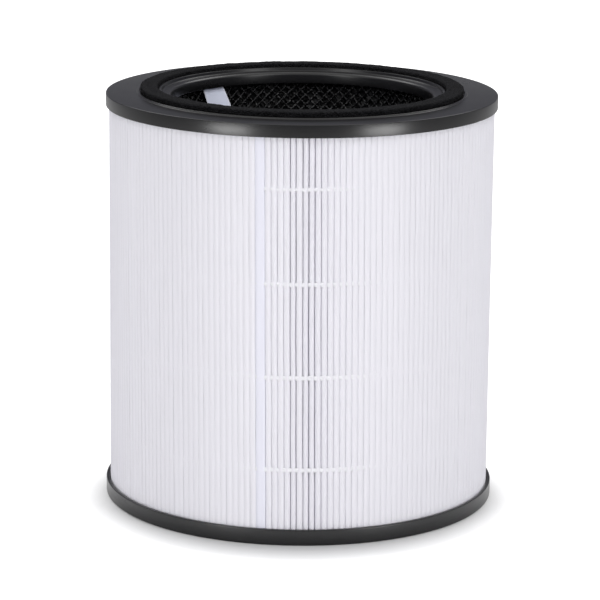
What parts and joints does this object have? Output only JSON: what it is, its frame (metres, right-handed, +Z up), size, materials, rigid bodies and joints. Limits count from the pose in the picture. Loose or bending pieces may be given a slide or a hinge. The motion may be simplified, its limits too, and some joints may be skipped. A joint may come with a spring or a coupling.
{
  "type": "air purifier filter",
  "caption": "Round air purifier filter: pleated white media with hot-melt beads around a carbon and net core, between black end caps, with a foam seal and a pull ribbon.",
  "frame": {"origin": "centre of the underside, on the surface that the filter stands on", "axes": "+Z up along the filter's axis, towards the open end with the gasket; -Y is the front, with the seam pleat a little to the left"},
  "size_m": [0.2112, 0.2112, 0.2249],
  "materials": {
    "black_plastic": "satin moulded black plastic with a fine grain",
    "black_foam": "open-cell black foam, fuzzy at the edges",
    "potting_glue": "set potting glue",
    "white_media": "white pleated filter fleece, matt and fibrous",
    "hot_melt": "milky hot-melt glue",
    "black_net": "glossy extruded net strands",
    "carbon": "small dull black pellets",
    "white_cloth": "plain non-woven cloth",
    "ribbon": "finely woven ribbon with firm edges"
  },
  "bodies": {
    "root": {"top_end_cap": "black_plastic", "bottom_end_cap": "black_plastic", "seal_gasket": "black_foam", "top_glue": "potting_glue", "bottom_glue": "potting_glue", "pleated_media": "white_media", "glue_bead_1": "hot_melt", "glue_bead_2": "hot_melt", "glue_bead_3": "hot_melt", "glue_bead_4": "hot_melt", "inner_net": "black_net", "carbon_bed": "carbon", "carbon_sleeve": "white_cloth", "pull_ribbon": "ribbon"}
  },
  "joints": []
}
